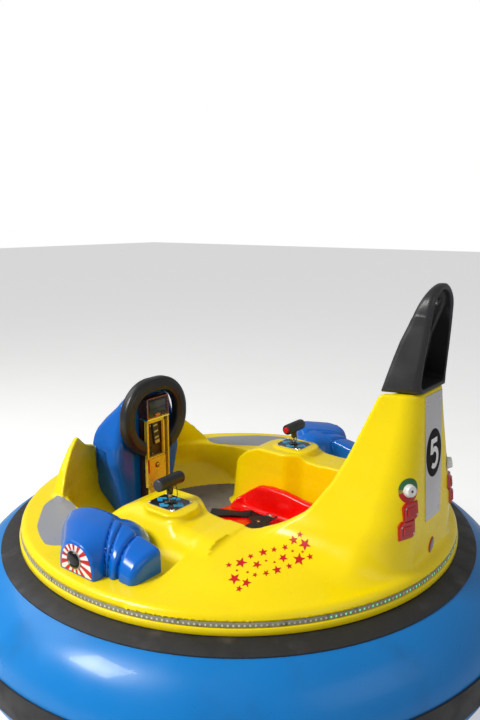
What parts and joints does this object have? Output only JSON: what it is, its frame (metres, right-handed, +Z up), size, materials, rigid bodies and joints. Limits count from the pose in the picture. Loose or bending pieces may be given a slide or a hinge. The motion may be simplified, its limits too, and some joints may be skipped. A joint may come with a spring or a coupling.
{
  "type": "bumper car",
  "caption": "Inflatable-tube bumper car for one rider: moulded yellow body with lever controls, console and hoop, tall backrest, and two drive wheels with castors",
  "frame": {"origin": "on the floor under the centre of the round tube, with the car standing on its wheels", "axes": "+X to the front, +Y to the rider's left, +Z up"},
  "size_m": [1.9722, 1.9722, 1.37],
  "materials": {
    "tube_fabric": "satin",
    "band": "satin",
    "flange": "matt",
    "strip": "gloss",
    "yellow": "gloss",
    "carpet": "matt",
    "seat": "satin",
    "belt": "matt",
    "blue": "gloss",
    "black": "satin",
    "panel": "worn",
    "screen": "satin",
    "plate": "satin",
    "lamp": "gloss",
    "headrest": "satin",
    "red_lamp": "gloss",
    "frame": "matt",
    "metal": "zinc plated",
    "hub": "cast",
    "silver": "satin",
    "tyre": "matt"
  },
  "bodies": {
    "car": {"tube": "tube_fabric", "rub_band": "band", "flange": "flange", "light_strip": "strip", "deck": "yellow", "tub": "carpet", "flank": "yellow", "column": "yellow", "fin_left": "yellow", "fin_right": "yellow", "armrest_left": "yellow", "armrest_right": "yellow", "seat_shell": "seat", "seat_belt": "belt", "cowl": "blue", "hoop": "black", "console_panel": "panel", "console_screen": "screen", "lever_plate_left": "plate", "lever_plate_right": "plate", "lever_left": "black", "lever_right": "black", "pod_left": "blue", "pod_right": "blue", "pod_lamp_left": "lamp", "pod_lamp_right": "lamp", "headrest": "headrest", "tail_lights": "red_lamp", "number_panel": "silver", "chassis_pan": "frame", "chassis_wall": "frame", "castor_bridges": "frame", "battery": "black", "drive_unit_left": "metal", "drive_unit_right": "metal"},
    "drive_wheel_left": {"drive_hub_left": "hub", "drive_tyre_left": "tyre"},
    "drive_wheel_right": {"drive_hub_right": "hub", "drive_tyre_right": "tyre"},
    "castor_front": {"castor_fork_front": "metal"},
    "castor_rear": {"castor_fork_rear": "metal"},
    "castor_roller_front": {"castor_wheel_front": "tyre"},
    "castor_roller_rear": {"castor_wheel_rear": "tyre"}
  },
  "joints": [
    {"name": "drive_wheel_left_roll", "type": "hinge", "parent": "car", "child": "drive_wheel_left", "pos_m": [0, 0.34, 0.125], "axis": [0, 1, 0], "continuous": true},
    {"name": "drive_wheel_right_roll", "type": "hinge", "parent": "car", "child": "drive_wheel_right", "pos_m": [0, -0.34, 0.125], "axis": [0, 1, 0], "continuous": true},
    {"name": "castor_front_swivel", "type": "hinge", "parent": "car", "child": "castor_front", "pos_m": [0.41, 0, 0.162], "axis": [0, 0, 1], "continuous": true},
    {"name": "castor_rear_swivel", "type": "hinge", "parent": "car", "child": "castor_rear", "pos_m": [-0.41, 0, 0.162], "axis": [0, 0, 1], "continuous": true},
    {"name": "castor_front_roll", "type": "hinge", "parent": "castor_front", "child": "castor_roller_front", "pos_m": [0.368, 0, 0.062], "axis": [0, 1, 0], "continuous": true},
    {"name": "castor_rear_roll", "type": "hinge", "parent": "castor_rear", "child": "castor_roller_rear", "pos_m": [-0.452, 0, 0.062], "axis": [0, 1, 0], "continuous": true}
  ]
}
